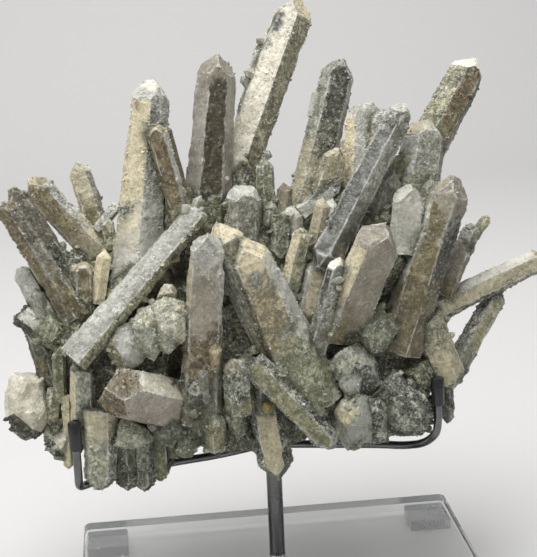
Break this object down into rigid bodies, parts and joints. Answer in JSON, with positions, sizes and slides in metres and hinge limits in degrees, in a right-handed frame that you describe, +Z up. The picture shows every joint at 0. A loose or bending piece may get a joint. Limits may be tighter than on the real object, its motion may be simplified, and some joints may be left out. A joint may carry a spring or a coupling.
{
  "type": "quartz cluster on a display stand",
  "caption": "Cluster of long smoky quartz crystals fanning up from a druse-covered root, held by bent rods on a steel post in a clear slab with feet.",
  "frame": {"origin": "bottom centre of the bounding box, on the surface that the four feet rest on", "axes": "+X along the slab's long edge, to the right seen from the side that the cluster is shown from; +Y away from that side; +Z up, along the post"},
  "size_m": [0.4312, 0.2098, 0.4765],
  "materials": {
    "quartz": "smoky quartz faces, partly frosted and partly under a crust of cream and grey-green druse",
    "acrylic": "clear cast acrylic, polished",
    "steel": "dark satin steel",
    "sleeve": "glossy dark vinyl tube"
  },
  "bodies": {
    "root": {"quartz_cluster": "quartz", "acrylic_slab": "acrylic", "mount_post": "steel", "post_screw": "steel", "cradle_hub": "steel", "arm_front_left": "steel", "sleeve_front_left": "sleeve", "arm_front_right": "steel", "sleeve_front_right": "sleeve", "arm_back_left": "steel", "sleeve_back_left": "sleeve", "arm_back_right": "steel", "sleeve_back_right": "sleeve", "acrylic_foot_front_left": "acrylic", "acrylic_foot_back_left": "acrylic", "acrylic_foot_front_right": "acrylic", "acrylic_foot_back_right": "acrylic"}
  },
  "joints": []
}
